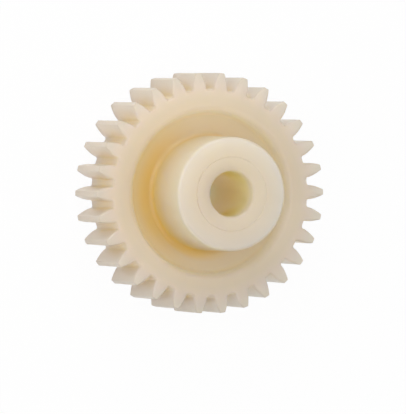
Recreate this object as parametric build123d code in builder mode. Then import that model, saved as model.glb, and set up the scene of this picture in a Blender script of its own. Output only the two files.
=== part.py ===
from build123d import *
from math import acos, asin, cos, degrees, pi, radians, sin, tan
import os

# A plastic spur gear, moulded in one piece: a toothed rim, a web sunk below the rim on
# both faces, a hub that stands up on one side, and a plain bore for the shaft. Nothing is
# fitted to it, so the whole gear is a single solid.
#
# Frame: the gear lies on its back face. The origin is on the gear's axis in that face,
# +Z runs along the axis to the hub's end, and one tooth is centred on +X.

# Teeth, in the proportions of the standard full-depth rack
module = 1.0
tooth_count = 30
pressure_angle = 20.0
addendum = 1.00 * module
dedendum = 1.25 * module
root_fillet = 0.30 * module
tip_round = 0.16 * module
tooth_thinning = 0.04           # taken off each tooth's width, so that a pair can't bind

# Rim, and the recess in each of its faces
face_width = 9.0
recess_diameter = 22.0
recess_depth = 1.5
recess_draft = 12.0
recess_chamfer = 0.4

# Hub, and the flush boss that backs it up on the other face
hub_diameter = 15.0
hub_projection = 8.0
hub_draft = 0.5
hub_chamfer = 0.3
hub_root = 0.9

# Bore, and the low ring that the mould's ejector sleeve leaves round it on the hub's end
bore_diameter = 6.0
bore_chamfer = 0.3
sleeve_diameter = 9.8
sleeve_step = 0.06

# Circles of the tooth form
pitch_radius = module * tooth_count / 2
base_radius = pitch_radius * cos(radians(pressure_angle))
tip_radius = pitch_radius + addendum
root_radius = pitch_radius - dedendum


def involute(angle):
    """The turn, in radians, that an involute has made where its pressure angle is angle."""
    return tan(angle) - angle


def polar(radius, angle):
    """The point at a radius and at an angle in radians from +X."""
    return (radius * cos(angle), radius * sin(angle))


# Half the angle of a tooth, and of a tooth and a gap, where the flanks leave the base circle
half_tooth = (
    pi / (2 * tooth_count)
    + involute(radians(pressure_angle))
    - tooth_thinning / (2 * pitch_radius)
)
half_pitch = pi / tooth_count


def flank_point(roll):
    """The end of a string unwound from the base circle through roll radians."""
    turn = roll - half_tooth
    string = base_radius * roll
    return (
        base_radius * cos(turn) + string * sin(turn),
        base_radius * sin(turn) - string * cos(turn),
    )


# The root fillet touches the root circle and the straight foot of the flank, which runs
# along a radius below the base circle.
fillet_turn = asin(root_fillet / (root_radius + root_fillet))
foot_radius = (root_radius + root_fillet) * cos(fillet_turn)
root_angle = half_tooth + fillet_turn

# The tip round touches the flank and the tip circle. Its centre lies on the curve parallel
# to the flank, which is the same involute begun tip_round further round the base circle.
tip_pressure = acos(base_radius / (tip_radius - tip_round))
tip_roll = tan(tip_pressure) + tip_round / base_radius
tip_angle = half_tooth - (tip_roll - tip_pressure)

flank_spans = 4
flank_points = [flank_point(tip_roll * i / flank_spans) for i in range(flank_spans + 1)]

with BuildLine() as tooth:
    Line(polar(foot_radius, -half_tooth), flank_points[0])
    flank = Spline(*flank_points)
    TangentArc(flank @ 1, polar(tip_radius, -tip_angle), tangent=flank % 1)
    foot = TangentArc(
        polar(foot_radius, -half_tooth),
        polar(root_radius, -root_angle),
        tangent=polar(-1, -half_tooth),
    )
    mirror(about=Plane.XZ)
    CenterArc((0, 0), tip_radius, degrees(-tip_angle), degrees(2 * tip_angle))
    CenterArc((0, 0), root_radius, degrees(root_angle), degrees(2 * (half_pitch - root_angle)))

# The turned form inside the teeth: each corner of half its section is given as its radius,
# its height and the size of the chamfer that breaks it
bore_radius = bore_diameter / 2
sleeve_radius = sleeve_diameter / 2
recess_radius = recess_diameter / 2
core_radius = (recess_radius + root_radius) / 2
recess_floor_radius = recess_radius - recess_depth * tan(radians(recess_draft))
front_floor = face_width - recess_depth
gear_length = face_width + hub_projection
hub_shoulder = gear_length - sleeve_step
hub_radius = hub_diameter / 2
hub_foot_radius = hub_radius + (gear_length - front_floor) * tan(radians(hub_draft))
section = [
    (bore_radius, 0, bore_chamfer),
    (hub_radius, 0, 0),
    (hub_foot_radius, recess_depth, 0),
    (recess_floor_radius, recess_depth, recess_chamfer),
    (recess_radius, 0, 0),
    (core_radius, 0, 0),
    (core_radius, face_width, 0),
    (recess_radius, face_width, 0),
    (recess_floor_radius, front_floor, recess_chamfer),
    (hub_foot_radius, front_floor, 0),
    (hub_radius, hub_shoulder, hub_chamfer),
    (sleeve_radius, hub_shoulder, 0),
    (sleeve_radius, gear_length, 0),
    (bore_radius, gear_length, bore_chamfer),
]

with BuildPart() as spur_gear:
    # Toothed ring
    with BuildSketch():
        with BuildLine():
            with PolarLocations(0, tooth_count):
                add(tooth.line)
        make_face()
        Circle(core_radius, mode=Mode.SUBTRACT)
    extrude(amount=face_width)
    # Web, hub and bore
    with BuildSketch(Plane.XZ) as half_section:
        with BuildLine():
            Polyline([(radius, height) for radius, height, size in section], close=True)
        make_face()
        hub_foot = half_section.vertices().sort_by_distance((hub_foot_radius, front_floor))[0]
        fillet(hub_foot, hub_root)
        for radius, height, size in section:
            if size > 0:
                corner = half_section.vertices().sort_by_distance((radius, height))[0]
                chamfer(corner, size)
    revolve(axis=Axis.Z)

os.makedirs("parts", exist_ok=True)
spur_gear.part.label = "spur_gear"
export_step(spur_gear.part, "parts/spur_gear.step")
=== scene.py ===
from math import acos, asin, cos, pi, radians, sin, tan

import bpy
import numpy as np
from mathutils import Matrix, Vector


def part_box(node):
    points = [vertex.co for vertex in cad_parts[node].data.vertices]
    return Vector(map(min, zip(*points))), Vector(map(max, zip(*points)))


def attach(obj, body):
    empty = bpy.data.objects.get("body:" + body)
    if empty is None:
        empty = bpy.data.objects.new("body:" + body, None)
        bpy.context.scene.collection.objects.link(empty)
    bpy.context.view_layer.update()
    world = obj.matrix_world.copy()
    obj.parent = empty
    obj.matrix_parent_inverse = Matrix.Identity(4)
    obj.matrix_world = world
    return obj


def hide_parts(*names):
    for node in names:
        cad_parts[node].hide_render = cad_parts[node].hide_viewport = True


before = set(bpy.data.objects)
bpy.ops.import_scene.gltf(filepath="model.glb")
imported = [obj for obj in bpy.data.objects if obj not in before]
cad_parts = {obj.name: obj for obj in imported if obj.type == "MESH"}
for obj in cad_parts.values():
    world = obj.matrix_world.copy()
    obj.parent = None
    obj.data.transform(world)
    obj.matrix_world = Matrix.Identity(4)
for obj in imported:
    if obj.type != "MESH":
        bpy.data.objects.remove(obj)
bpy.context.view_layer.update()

# ------------------------------------------------------------------ sizes, in metres
MM = 0.001

# Teeth: a full-depth involute rack of module 1
MODULE = 1.0 * MM
TOOTH_COUNT = 30
PRESSURE_ANGLE = radians(20.0)
ADDENDUM = 1.0 * MODULE
DEDENDUM = 1.25 * MODULE
ROOT_FILLET = 0.30 * MODULE
TIP_ROUND = 0.16 * MODULE
TOOTH_THINNING = 0.04 * MM      # how much thinner each tooth is than half the pitch, for backlash

PITCH_RADIUS = MODULE * TOOTH_COUNT / 2
BASE_RADIUS = PITCH_RADIUS * cos(PRESSURE_ANGLE)
TIP_RADIUS = PITCH_RADIUS + ADDENDUM
ROOT_RADIUS = PITCH_RADIUS - DEDENDUM

# The soft ends of the teeth, and the flat rings that join them to the turned form
END_ROUND = 0.30 * MM           # on the flanks and the roots
TIP_END_ROUND = 0.12 * MM       # on the tips
END_BAND = 0.33 * MM            # how far the toothed grid reaches in over the rim's faces
SEAM_WIDTH = 0.07 * MM          # the ring's width between the two grids, at the gaps
SEAM_STEP = 4                   # vertices of the toothed grid to each column of the turned one

# Rim, recesses, hub and bore
FACE_WIDTH = 9.0 * MM
GEAR_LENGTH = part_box("spur_gear")[1].z
RECESS_RADIUS = 11.0 * MM
RECESS_DEPTH = 1.5 * MM
RECESS_DRAFT = radians(12.0)
RECESS_CORNER = 0.5 * MM
RECESS_LIP = 0.8 * MM
RECESS_FLOOR = FACE_WIDTH - RECESS_DEPTH
HUB_RADIUS = 7.5 * MM
HUB_DRAFT = radians(0.5)
HUB_EDGE = 0.4 * MM
HUB_ROOT = 0.7 * MM
BOSS_EDGE = 0.2 * MM
BORE_RADIUS = 3.0 * MM
BORE_MOUTH = 0.3 * MM
SLEEVE_RADIUS = 4.9 * MM
SLEEVE_STEP = 0.06 * MM
SLEEVE_SOFT = 0.02 * MM
SLEEVE_GROOVE = 0.07 * MM       # half the width, and the depth, of the fine line beside the step


# ------------------------------------------------------------------ surfaces
def arc(centre, radius, start, end, spans):
    """Points on a circle, as complex numbers: the centre plus the radius turned from the start
    angle to the end angle in equal steps. The directions from the centre come second.
    """
    direction = np.exp(1j * np.linspace(start, end, spans + 1))
    return centre + radius * direction, direction


def rounded_path(corners, spans=6, hold=0.03 * MM):
    """A polyline of (across, up, rounding) corners with each inner corner rounded off.

    At a corner the two sides leave at half an angle h from the corner's middle line. The
    round touches each side at rounding / tan(h), its centre lies on the middle line at
    rounding / sin(h), and its points turn evenly from one touching point to the other. A
    further point on the side, the distance hold outside each round or a third of the way to
    the next corner if that is less, keeps the flat beside it flat.
    """
    point = np.array([across + 1j * up for across, up, rounding in corners])
    rounding = np.array([rounding for across, up, rounding in corners])[1:-1, None]
    before = (point[:-2] - point[1:-1])[:, None]
    after = (point[2:] - point[1:-1])[:, None]
    length = np.minimum(abs(before), abs(after))
    before, after = before / abs(before), after / abs(after)
    half = np.abs(np.angle(after / before)) / 2
    middle = (before + after) / abs(before + after)
    centre = point[1:-1, None] + middle * rounding / np.sin(half)
    touch = rounding / np.tan(half)
    turn = np.angle((after * touch - (centre - point[1:-1, None]))
                    / (before * touch - (centre - point[1:-1, None])))
    first = point[1:-1, None] + before * touch - centre
    curve = centre + first * np.exp(1j * turn * np.linspace(0, 1, spans + 1))
    gap = np.minimum(hold, (length - touch) / 3)
    rows = np.hstack([curve[:, :1] + before * gap, curve, curve[:, -1:] + after * gap])
    return np.concatenate([point[:1], rows.ravel(), point[-1:]])


# How many spans each part of the outline has, on one side of a tooth
ROOT_SPANS = 5
FILLET_SPANS = 9
FLANK_SPANS = 8
TIP_ROUND_SPANS = 4
LAND_SPANS = 1


def tooth_outline():
    """One tooth from the middle of a gap to the middle of the next, and its outward normals.

    The flank is an involute: with a string unwound from the base circle by an angle roll, its
    end is base radius x (1 - i roll) turned by roll less half the tooth's angle there. Its
    normal runs along the string. Below the base circle the flank goes straight down to the
    root fillet, an arc that touches it and the root circle. At the top an arc inside the
    corner touches the flank and the tip circle: its centre lies on the parallel involute.
    The second half of the tooth is the first one mirrored.
    """
    half_pitch = pi / TOOTH_COUNT
    half_tooth = half_pitch / 2 + tan(PRESSURE_ANGLE) - PRESSURE_ANGLE
    half_tooth -= TOOTH_THINNING / (2 * PITCH_RADIUS)

    fillet_radius = ROOT_RADIUS + ROOT_FILLET
    fillet_turn = asin(ROOT_FILLET / fillet_radius)
    root_angle = half_tooth + fillet_turn
    tip_pressure = acos(BASE_RADIUS / (TIP_RADIUS - TIP_ROUND))
    tip_roll = tan(tip_pressure) + TIP_ROUND / BASE_RADIUS
    tip_angle = half_tooth - tip_roll + tip_pressure

    root, root_normal = arc(0, ROOT_RADIUS, -half_pitch, -root_angle, ROOT_SPANS)
    fillet, fillet_out = arc(fillet_radius * np.exp(-1j * root_angle), ROOT_FILLET,
                             pi - root_angle, pi / 2 - half_tooth, FILLET_SPANS)
    roll = tip_roll * np.sqrt(np.linspace(0, 1, FLANK_SPANS + 1))
    turned = np.exp(1j * (roll - half_tooth))
    flank, flank_normal = BASE_RADIUS * turned * (1 - 1j * roll), -1j * turned
    tip_round, tip_round_normal = arc(
        (TIP_RADIUS - TIP_ROUND) * np.exp(-1j * tip_angle), TIP_ROUND,
        tip_roll - half_tooth - pi / 2, -tip_angle, TIP_ROUND_SPANS)
    land, land_normal = arc(0, TIP_RADIUS, -tip_angle, 0, LAND_SPANS)

    points = np.concatenate([root[:-1], fillet, flank, tip_round[1:], land[1:]])
    normals = np.concatenate([root_normal[:-1], -fillet_out, flank_normal,
                              tip_round_normal[1:], land_normal[1:]])
    points = np.concatenate([points, points[-2:0:-1].conj()])
    normals = np.concatenate([normals, normals[-2:0:-1].conj()])
    return points, normals


def all_round(one, count):
    """A pattern of points repeated count times round the axis."""
    turns = np.exp(2j * pi * np.arange(count) / count)
    return (turns[:, None] * one).ravel()


def toothed_surface():
    """The teeth as a grid: along the outline, and across the face from front to back.

    Each row is the outline moved in along its own normal by the inset that the rounded path
    gives at that height, times a share. The share is 1 up to the pitch circle, and falls along
    the S-shaped step 3 t^2 - 2 t^3 to the ratio of the two end rounds at the centres of the
    tip rounds, as the tips are too slim for the larger one.
    """
    points, normals = (all_round(part, TOOTH_COUNT) for part in tooth_outline())
    rise = TIP_RADIUS - TIP_ROUND - PITCH_RADIUS
    near_tip = np.clip((abs(points) - PITCH_RADIUS) / rise, 0, 1)
    share = 1 - (1 - TIP_END_ROUND / END_ROUND) * near_tip ** 2 * (3 - 2 * near_tip)
    path = rounded_path([(END_BAND, FACE_WIDTH, 0), (0, FACE_WIDTH, END_ROUND),
                         (0, 0, END_ROUND), (END_BAND, 0, 0)], spans=4, hold=0.02 * MM)
    plan = points - normals * path.real[:, None] * share
    height = np.broadcast_to(path.imag[:, None], plan.shape)
    return np.stack([plan.real, plan.imag, height], axis=-1)


def turned_surface(angle):
    """The turned form inside the teeth as a grid: round the axis, and along its half section.

    A point of the section at radius r and height z goes to (r cos a, r sin a, z), for each
    angle a that is given.
    """
    seam_radius = ROOT_RADIUS - END_BAND - SEAM_WIDTH
    floor_radius = RECESS_RADIUS - RECESS_DEPTH * tan(RECESS_DRAFT)
    hub_foot = HUB_RADIUS + (GEAR_LENGTH - RECESS_FLOOR) * tan(HUB_DRAFT)
    step = GEAR_LENGTH - SLEEVE_STEP
    path = rounded_path([
        (seam_radius, FACE_WIDTH, 0),
        (RECESS_RADIUS, FACE_WIDTH, RECESS_LIP),
        (floor_radius, RECESS_FLOOR, RECESS_CORNER),
        (hub_foot, RECESS_FLOOR, HUB_ROOT),
        (HUB_RADIUS, step, HUB_EDGE),
        (SLEEVE_RADIUS + SLEEVE_GROOVE, step, SLEEVE_SOFT),
        (SLEEVE_RADIUS, step - SLEEVE_GROOVE, SLEEVE_SOFT),
        (SLEEVE_RADIUS - SLEEVE_GROOVE, GEAR_LENGTH, SLEEVE_SOFT),
        (BORE_RADIUS, GEAR_LENGTH, BORE_MOUTH),
        (BORE_RADIUS, 0, BORE_MOUTH),
        (HUB_RADIUS, 0, BOSS_EDGE),
        (hub_foot, RECESS_DEPTH, HUB_ROOT),
        (floor_radius, RECESS_DEPTH, RECESS_CORNER),
        (RECESS_RADIUS, 0, RECESS_LIP),
        (seam_radius, 0, 0),
    ])
    plan = path.real[:, None] * np.exp(1j * angle)
    height = np.broadcast_to(path.imag[:, None], plan.shape)
    return np.stack([plan.real, plan.imag, height], axis=-1)


def grid_quads(rows, columns, first):
    """Corner numbers of a grid's faces, closed round the columns, with vertices from first on."""
    row = np.arange(rows - 1)[:, None] * columns + first
    here = np.arange(columns)
    there = np.roll(here, -1)
    return np.stack([row + here, row + columns + here, row + columns + there, row + there],
                    axis=-1).reshape(-1, 4)


def seam_triangles(outer, inner):
    """Corner numbers of the flat ring between an outer row and an inner row of vertices, where
    the inner row has one vertex for each SEAM_STEP outer ones, at the angle of the first of them.

    Each outer edge makes a triangle with the nearest inner vertex, and each inner edge one
    with the outer vertex opposite its middle.
    """
    edge = np.arange(len(outer))
    middle = SEAM_STEP // 2
    near = inner[(edge + middle) // SEAM_STEP % len(inner)]
    fan = np.stack([outer, np.roll(outer, -1), near], axis=-1)
    between = np.stack([inner, outer[middle::SEAM_STEP], np.roll(inner, -1)], axis=-1)
    return np.concatenate([fan, between])


def make_mesh(name, vertices, polygons):
    """A smooth-shaded mesh object from an array of vertices and arrays of faces."""
    mesh = bpy.data.meshes.new(name)
    corners = np.concatenate([p.ravel() for p in polygons])
    sizes = np.concatenate([np.full(len(p), p.shape[1]) for p in polygons])
    mesh.vertices.add(len(vertices))
    mesh.vertices.foreach_set("co", vertices.astype(np.float32).ravel())
    mesh.loops.add(len(corners))
    mesh.loops.foreach_set("vertex_index", corners.astype(np.int32))
    mesh.polygons.add(len(sizes))
    mesh.polygons.foreach_set("loop_start", (np.cumsum(sizes) - sizes).astype(np.int32))
    mesh.polygons.foreach_set("use_smooth", np.ones(len(sizes), bool))
    mesh.update(calc_edges=True)
    mesh.validate()
    piece = bpy.data.objects.new(name, mesh)
    bpy.context.scene.collection.objects.link(piece)
    return piece


def make_gear():
    """The whole moulding as one closed mesh: the toothed grid, the turned grid, and the two
    flat rings of the rim's faces that join them.

    The turned grid has a column at every SEAM_STEPth vertex of the toothed grid's first row, so
    that the rings don't fold.
    """
    toothed = toothed_surface()
    joined = toothed[0, ::SEAM_STEP]
    turned = turned_surface(np.arctan2(joined[:, 1], joined[:, 0]))
    rows, columns = toothed.shape[:2]
    turned_rows, turned_columns = turned.shape[:2]
    turned_first = rows * columns
    vertices = np.concatenate([toothed.reshape(-1, 3), turned.reshape(-1, 3)])
    toothed_front = np.arange(columns)
    toothed_back = toothed_front + (rows - 1) * columns
    turned_front = np.arange(turned_columns) + turned_first
    turned_back = turned_front + (turned_rows - 1) * turned_columns
    faces = [
        grid_quads(rows, columns, 0),
        grid_quads(turned_rows, turned_columns, turned_first)[:, ::-1],
        seam_triangles(toothed_front, turned_front),
        seam_triangles(toothed_back, turned_back)[:, ::-1],
    ]
    return make_mesh("moulded_gear", vertices, faces)


# ------------------------------------------------------------------ finishes
class Shade:
    """An output of a shader node, so that maths on a surface reads as plain arithmetic.

    Each operator adds the Math node that it names, and node() adds any other node.
    """

    def __init__(self, tree, socket=None):
        self.tree = tree
        self.socket = socket

    def node(self, kind, settings=None, inputs=None, output=0):
        """A node of a type: its settings come first, then a value or a link for each input."""
        node = self.tree.nodes.new(kind)
        for name, setting in (settings or {}).items():
            setattr(node, name, setting)
        for name, value in (inputs or {}).items():
            socket = self.pick(node.inputs, name)
            if isinstance(value, Shade):
                self.tree.links.new(value.socket, socket)
            else:
                socket.default_value = value
        return node if output is None else Shade(self.tree, self.pick(node.outputs, output))

    @staticmethod
    def pick(sockets, name):
        """The socket of that number, or the one of that name that the settings leave in use."""
        if isinstance(name, int):
            return sockets[name]
        return next(socket for socket in sockets if socket.name == name and socket.enabled)

    def maths(self, operation, first, second):
        """A Math node on two numbers, either of which can be a link."""
        return self.node("ShaderNodeMath", {"operation": operation}, {0: first, 1: second})

    def __add__(self, other):
        return self.maths("ADD", self, other)

    def __sub__(self, other):
        return self.maths("SUBTRACT", self, other)

    def __rsub__(self, other):
        return self.maths("SUBTRACT", other, self)

    def __mul__(self, other):
        return self.maths("MULTIPLY", self, other)

    __radd__ = __add__
    __rmul__ = __mul__

    def larger(self, other):
        """The larger of this and another number."""
        return self.maths("MAXIMUM", self, other)

    def mix(self, first, second):
        """The first number where this is 0, and the second where it is 1."""
        return first + self * (second - first)

    def smooth(self, low, high):
        """0 below low, 1 above high, and an even S-shaped rise between them."""
        return self.node("ShaderNodeMapRange", {"interpolation_type": "SMOOTHSTEP"},
                         {"Value": self, "From Min": low, "From Max": high}, "Result")

    def fade(self, low, high):
        """1 below low, 0 above high, and an even S-shaped fall between them."""
        return 1 - self.smooth(low, high)

    def band(self, rise, fall):
        """1 between a rise and a fall, each given by where it starts and ends, and 0 beyond."""
        return self.smooth(*rise) * self.fade(*fall)

    def along(self, direction):
        """How far this place lies from the origin along a direction of length 1."""
        return self.node("ShaderNodeVectorMath", {"operation": "DOT_PRODUCT"},
                         {0: self, 1: direction}, "Value")

    def from_axis(self):
        """The distance of this place from the Z axis."""
        flat = self.node("ShaderNodeVectorMath", {"operation": "MULTIPLY"},
                         {0: self, 1: (1.0, 1.0, 0.0)})
        return self.node("ShaderNodeVectorMath", {"operation": "LENGTH"}, {0: flat}, "Value")

    def noise(self, grain, detail):
        """Noise from 0 to 1 at this place, with features about one grain across."""
        return self.node("ShaderNodeTexNoise", None,
                         {"Vector": self, "Scale": 1 / grain, "Detail": detail})

    def blend(self, first, second):
        """The first colour where this is 0, and the second where it is 1."""
        return self.node("ShaderNodeMix", {"data_type": "RGBA"},
                         {"Factor": self, "A": first, "B": second}, "Result")


def new_material(name):
    """An empty material, and a Shade to start its nodes from."""
    material = bpy.data.materials.new(name)
    material.use_nodes = True
    material.node_tree.nodes.clear()
    return material, Shade(material.node_tree)


# Natural acetal: how far light travels in it between turns, and its share for each colour
SCATTER_DEPTH = 20.0 * MM
SCATTER_SHARES = (1.0, 1.0, 0.65)
ACETAL_INDEX = 1.48

# Its satin skin: a fine mist in the gloss and the relief, and finer grain in the relief
MIST_SIZE = 0.9 * MM
GRAIN_SIZE = 0.12 * MM
ROUGHNESS = 0.28
MISTED_ROUGHNESS = 0.12         # what the mist adds to it at most
RELIEF_HEIGHT = 0.02 * MM
RELIEF_STRENGTH = 0.25
MIST_RELIEF = 0.7               # the mist's share of the relief, and the grain has the rest

# Base colours, most of them painted light and painted shade
LIT_PALE = (0.875, 0.665, 0.495, 1.0)       # painted light, where light falls openly: the teeth and the hub's end
LIT_CREAM = (0.95, 0.72, 0.495, 1.0)        # painted light on the side of the hub
SHADED_TAN = (0.755, 0.625, 0.445, 1.0)        # painted shade on the thick ring under the teeth, darker than the open places
LIT_LIP = (0.89, 0.73, 0.545, 1.0)          # painted light on the edge of the recess
SHADE_HONEY = (0.835, 0.545, 0.14, 1.0)       # painted shade in the hollows, honey as the light that reaches them through the plastic
FOOT_SHADE_HONEY = (0.99, 0.64, 0.18, 1.0)    # the same painted shade on the hub, down at its foot
LIT_AMBER = (0.998, 0.75, 0.465, 1.0)       # painted light in the bore near its mouth
DEEP_SHADE_AMBER = (0.998, 0.66, 0.17, 1.0)   # painted shade in the bore further in, where only light through the hub's wall reaches
SKIN = (0.76, 0.65, 0.49, 1.0)          # the plain finish that is mixed in at the tips

# Shares of those colours
HUB_FOOT_SHADE = 0.4                 # painted shade on the hub, down at its foot
ROOT_SHADE = 0.1                # painted shade in the gaps between the teeth
FLOOR_SHADE_LEAN = 0.85               # how much of the painted shade on the floors is gone on the side away from -X
MOUTH_LIGHT = 0.5               # painted light: amber round the bore's mouth
SKIN_SHARE = 0.6                # plain finish at the very tips

# A slow clouding of the plastic, and how much it takes from the pale of the painted light and from
# the honey of the painted shade
CLOUD_SIZE = 5.0 * MM
CLOUD_EDGES = (0.3, 0.7)
PALE_CLOUDING = 0.12
SHADE_CLOUDING = 0.08

# Where an S-shaped step from one colour to another starts and ends. First, out from the axis:
BORE_FALL = (BORE_RADIUS, BORE_RADIUS + BORE_MOUTH)
MOUTH_FALL = (3.0 * MM, 5.5 * MM)
HUB_SIDE_RISE = (HUB_RADIUS - HUB_EDGE, HUB_RADIUS)
FOOT_RISE = (7.3 * MM, 7.8 * MM)
HUB_FALL = (7.4 * MM, 8.2 * MM)
FOOT_FALL = (8.0 * MM, 9.6 * MM)
FLOOR_FALL = (8.4 * MM, 11.4 * MM)
LIP_RISE = (10.2 * MM, 10.7 * MM)
LIP_FALL = (11.0 * MM, 11.8 * MM)
TEETH_RISE = (11.5 * MM, 14.5 * MM)
ROOTS_RISE = (12.0 * MM, 13.0 * MM)
ROOTS_FALL = (13.5 * MM, 16.0 * MM)
SKIN_RISE = (14.0 * MM, 16.0 * MM)

# Then up from the back face:
BACK_RECESS_RISE = (0.0, RECESS_DEPTH)
BORE_BACK_RISE = (0.0, 1.0 * MM)
ROOTS_BACK_RISE = (1.5 * MM, 3.0 * MM)
ROOTS_FRONT_FALL = (FACE_WIDTH - 3.0 * MM, FACE_WIDTH - 1.0 * MM)
HUB_FOOT_STEP = (RECESS_FLOOR, RECESS_FLOOR + 4.0 * MM)
AMBER_STEP = (RECESS_FLOOR, GEAR_LENGTH)
BORE_FRONT_FALL = (GEAR_LENGTH - 2.5 * MM, GEAR_LENGTH)
MOUTH_RISE = (GEAR_LENGTH - 1.0 * MM, GEAR_LENGTH)

# Last, across the gear, so that the painted shade lies one-sided: along +X on the floors, and
# along an angle from +X at the foot
FLOOR_SHADE_LEAN_RISE = (-10.0 * MM, -1.0 * MM)
FOOT_SHADE_SIDE = radians(215.0)
FOOT_SHADE_RISE = (0.0, 7.0 * MM)


def base_colour_with_painted_light(place, radius):
    """The base colour at a place, which is the given radius from the axis.

    Apart from the slow clouding, its changes are painted light and shade. It is tan, as painted
    shade, on the thick ring and on the web, and pale, as painted light, at the teeth and up the
    hub. Over that come the cream of the hub's side and the lip of the recess, painted light, then
    the honey of the hollows, painted shade, and then the amber of the bore and round its mouth,
    painted light near the mouth and painted shade further in. The honey fills the floors of the
    recesses, most towards -X, and the foot of the hub, most on one side given by an angle from
    +X, and faintly the gaps between the teeth. Each patch is a product of S-shaped steps, most
    of them in radius and height, so it follows the turned form.
    """
    height = place.along((0.0, 0.0, 1.0))
    cloud = place.noise(CLOUD_SIZE, 3.0).smooth(*CLOUD_EDGES)
    hub = radius.fade(*HUB_FALL)

    # Painted light: the lip of the recess is lighter, and also counts among the pale places
    lip = radius.band(LIP_RISE, LIP_FALL)
    # The pale share is painted light: pale at the teeth, the lip and up the hub, where light falls
    # openly, and tan as painted shade elsewhere
    open_light = radius.smooth(*TEETH_RISE).larger(lip).larger(height.smooth(*HUB_FOOT_STEP))
    ground = (open_light - PALE_CLOUDING * cloud).blend(SHADED_TAN, LIT_PALE)
    # Painted light: the hub's side and the edge round its end are lightened to cream
    hub_side = radius.smooth(*HUB_SIDE_RISE) * hub
    ground = hub_side.blend(ground, LIT_CREAM)
    ground = lip.blend(ground, LIT_LIP)

    # Painted shade that lies one-sided: on the floors it fades away from -X, and at the hub's foot
    # it leans to one angle
    shade_lean = FLOOR_SHADE_LEAN * place.along((1.0, 0.0, 0.0)).smooth(*FLOOR_SHADE_LEAN_RISE)
    floors = radius.fade(*FLOOR_FALL) * (1 - shade_lean)
    foot_side = place.along((cos(FOOT_SHADE_SIDE), sin(FOOT_SHADE_SIDE), 0.0)).smooth(*FOOT_SHADE_RISE)
    foot = radius.band(FOOT_RISE, FOOT_FALL) * foot_side
    # Painted shade in honey: the floors of the recesses, the foot of the hub and, faintly, the
    # gaps between the teeth
    low = height.band(BACK_RECESS_RISE, HUB_FOOT_STEP)
    hollow_shade = low * hub.mix(floors, HUB_FOOT_SHADE).larger(foot)
    roots = radius.band(ROOTS_RISE, ROOTS_FALL) * height.band(ROOTS_BACK_RISE, ROOTS_FRONT_FALL)
    hollow_shade = hollow_shade.larger(ROOT_SHADE * roots)
    honey = hub.blend(SHADE_HONEY, FOOT_SHADE_HONEY)
    outside = (hollow_shade * (1 - SHADE_CLOUDING * cloud)).blend(ground, honey)

    # Painted light round the bore's mouth, and in the bore painted light near the mouth and
    # painted shade further in
    mouth = radius.fade(*MOUTH_FALL) * height.smooth(*MOUTH_RISE)
    outside = (MOUTH_LIGHT * mouth).blend(outside, LIT_AMBER)
    inside = height.smooth(*AMBER_STEP).blend(DEEP_SHADE_AMBER, LIT_AMBER)
    bore = radius.fade(*BORE_FALL) * height.band(BORE_BACK_RISE, BORE_FRONT_FALL)
    return bore.blend(outside, inside)


def moulded_acetal():
    """Natural acetal as it leaves the mould: cream, satin and translucent, with light that
    scatters deep in it.

    Teeth this slim would scatter nearly all their light on and keep almost no colour of their
    own, so towards their tips a plain finish of the same gloss is mixed in. The base colour under
    it all carries painted light and shade.
    """
    material, start = new_material("moulded_acetal")
    place = start.node("ShaderNodeTexCoord", output="Object")
    radius = place.from_axis()
    mist = place.noise(MIST_SIZE, 3.0)
    grain = place.noise(GRAIN_SIZE, 2.0)
    relief = MIST_RELIEF * mist + (1 - MIST_RELIEF) * grain
    skin = {
        "Roughness": ROUGHNESS + MISTED_ROUGHNESS * mist,
        "IOR": ACETAL_INDEX,
        "Normal": start.node("ShaderNodeBump", None, {
            "Strength": RELIEF_STRENGTH,
            "Distance": RELIEF_HEIGHT,
            "Height": relief,
        }, "Normal"),
    }
    deep = start.node("ShaderNodeBsdfPrincipled", {"subsurface_method": "RANDOM_WALK"}, {
        **skin,
        "Base Color": base_colour_with_painted_light(place, radius),
        "Subsurface Weight": 1.0,
        "Subsurface Radius": SCATTER_SHARES,
        "Subsurface Scale": SCATTER_DEPTH,
    }, "BSDF")
    plain = start.node("ShaderNodeBsdfPrincipled", None, {**skin, "Base Color": SKIN}, "BSDF")
    tips = SKIN_SHARE * radius.smooth(*SKIN_RISE)
    surface = start.node("ShaderNodeMixShader", None, {"Fac": tips, 1: deep, 2: plain}, "Shader")
    start.node("ShaderNodeOutputMaterial", None, {"Surface": surface}, None)
    return material


# White card for the floor
WHITE = (1.0, 1.0, 1.0, 1.0)
CARD_WHITE = (0.9, 0.9, 0.9, 1.0)
CARD_LIFT = 0.14                # light that comes up through the card, as from a light table
CARD_GLOW = 0.95                # share of plain white where the card is seen directly


def seen_directly(start):
    """1 on rays from the camera and on what gloss and glass show, and 0 on the light itself."""
    camera, glossy, through = [
        start.node("ShaderNodeLightPath", output=kind)
        for kind in ("Is Camera Ray", "Is Glossy Ray", "Is Transmission Ray")]
    return camera.larger(glossy).larger(through)


def white_card():
    """The floor's finish: matt white card with a little light coming up through it.

    Seen directly or in a reflection most of it is plain white, as lit card is behind a product,
    and the small rest shows the gear's shadow.
    """
    material, start = new_material("white_card")
    card = start.node("ShaderNodeBsdfDiffuse", None, {"Color": CARD_WHITE})
    lift = start.node("ShaderNodeEmission", None, {"Color": WHITE, "Strength": CARD_LIFT})
    lit = start.node("ShaderNodeAddShader", None, {0: card, 1: lift}, "Shader")
    glow = start.node("ShaderNodeEmission", None, {"Color": WHITE, "Strength": 1.0})
    share = CARD_GLOW * seen_directly(start)
    surface = start.node("ShaderNodeMixShader", None, {"Fac": share, 1: lit, 2: glow}, "Shader")
    start.node("ShaderNodeOutputMaterial", None, {"Surface": surface}, None)
    return material


# ------------------------------------------------------------------ the gear
gear = make_gear()
gear.data.materials.append(moulded_acetal())
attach(gear, "root")
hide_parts("spur_gear")


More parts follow.
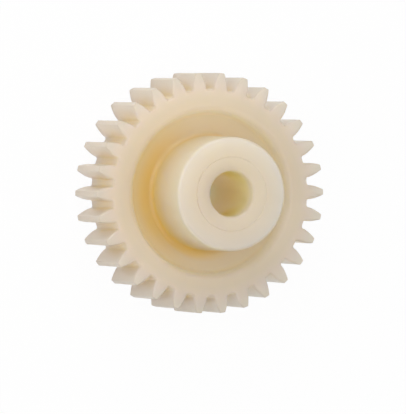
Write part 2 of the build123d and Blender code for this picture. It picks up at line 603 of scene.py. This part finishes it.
# ------------------------------------------------------------------ the setting
LAMP_DISTANCE = 0.35
LAMP_AIM = Vector((0, 0, FACE_WIDTH))
ROOM_LIGHT = 0.10
FLOOR_GAP = 0.01 * MM           # keeps the card and the gear's back face off one plane


def make_floor(radius=0.9, columns=96):
    """A flat disc of card for the gear to lie on, as a ring of triangles round its centre."""
    angle = 2 * pi * np.arange(columns) / columns
    rim = np.stack([radius * np.cos(angle), radius * np.sin(angle), 0 * angle], axis=-1)
    here = np.arange(columns) + 1
    faces = np.stack([0 * here, here, np.roll(here, -1)], axis=-1)
    disc = make_mesh("floor_card", np.concatenate([[[0, 0, 0]], rim]), [faces])
    disc.location.z = -FLOOR_GAP
    return disc


floor = make_floor()
floor.data.materials.append(white_card())


def area_light(name, turn, rise, size, power):
    """A square soft light of a size in metres and a power in watts, at a turn from +X and a rise
    above the floor in degrees, and aimed at the axis level with the rim's face.
    """
    lamp = bpy.data.lights.new(name, "AREA")
    lamp.shape = "SQUARE"
    lamp.size = size
    lamp.energy = power
    light = bpy.data.objects.new(name, lamp)
    turned = Matrix.Rotation(radians(turn), 3, "Z") @ Matrix.Rotation(-radians(rise), 3, "Y")
    away = turned @ Vector((1, 0, 0))
    light.location = LAMP_AIM + LAMP_DISTANCE * away
    light.rotation_euler = away.to_track_quat("Z", "Y").to_euler()
    bpy.context.scene.collection.objects.link(light)


area_light("left_light", 180, 50, 0.45, 0.65)
area_light("back_light", 100, 30, 0.16, 0.33)
area_light("right_light", 0, 45, 0.25, 0.19)
area_light("top_light", 0, 90, 0.40, 0.40)


def soft_room(strength):
    """The air round the set: an even white light, seen as plain white behind the floor."""
    world = bpy.data.worlds.new("soft_room")
    world.use_nodes = True
    world.node_tree.nodes.clear()
    start = Shade(world.node_tree)
    glow = strength + (1 - strength) * seen_directly(start)
    room = start.node("ShaderNodeBackground", None, {"Color": WHITE, "Strength": glow})
    start.node("ShaderNodeOutputWorld", None, {"Surface": room}, None)
    bpy.context.scene.world = world


soft_room(ROOM_LIGHT)

# The camera looks down from almost a metre away with a very long lens, and leans towards -X
VIEW_TURN = radians(20.00)      # off the gear's axis, towards -X
VIEW_NOD = radians(-1.04)
VIEW_ROLL = radians(0.585)
VIEW_DISTANCE = 928.6 * MM      # from the rim's face
VIEW_SLIDE = (-1.05 * MM, -1.845 * MM)  # sideways and up, to place the gear in the frame
LENS_ANGLE = radians(3.38765)

camera_data = bpy.data.cameras.new("studio_camera")
camera_data.angle = LENS_ANGLE
camera_data.clip_start = 0.1
camera_data.clip_end = 10.0
camera = bpy.data.objects.new("studio_camera", camera_data)
camera.matrix_world = (
    Matrix.Translation((0, 0, FACE_WIDTH))
    @ Matrix.Rotation(-VIEW_ROLL, 4, "Z")
    @ Matrix.Rotation(VIEW_NOD, 4, "X")
    @ Matrix.Rotation(-VIEW_TURN, 4, "Y")
    @ Matrix.Translation((*VIEW_SLIDE, VIEW_DISTANCE))
)
bpy.context.scene.collection.objects.link(camera)
bpy.context.scene.camera = camera
bpy.context.scene.view_settings.view_transform = "Standard"
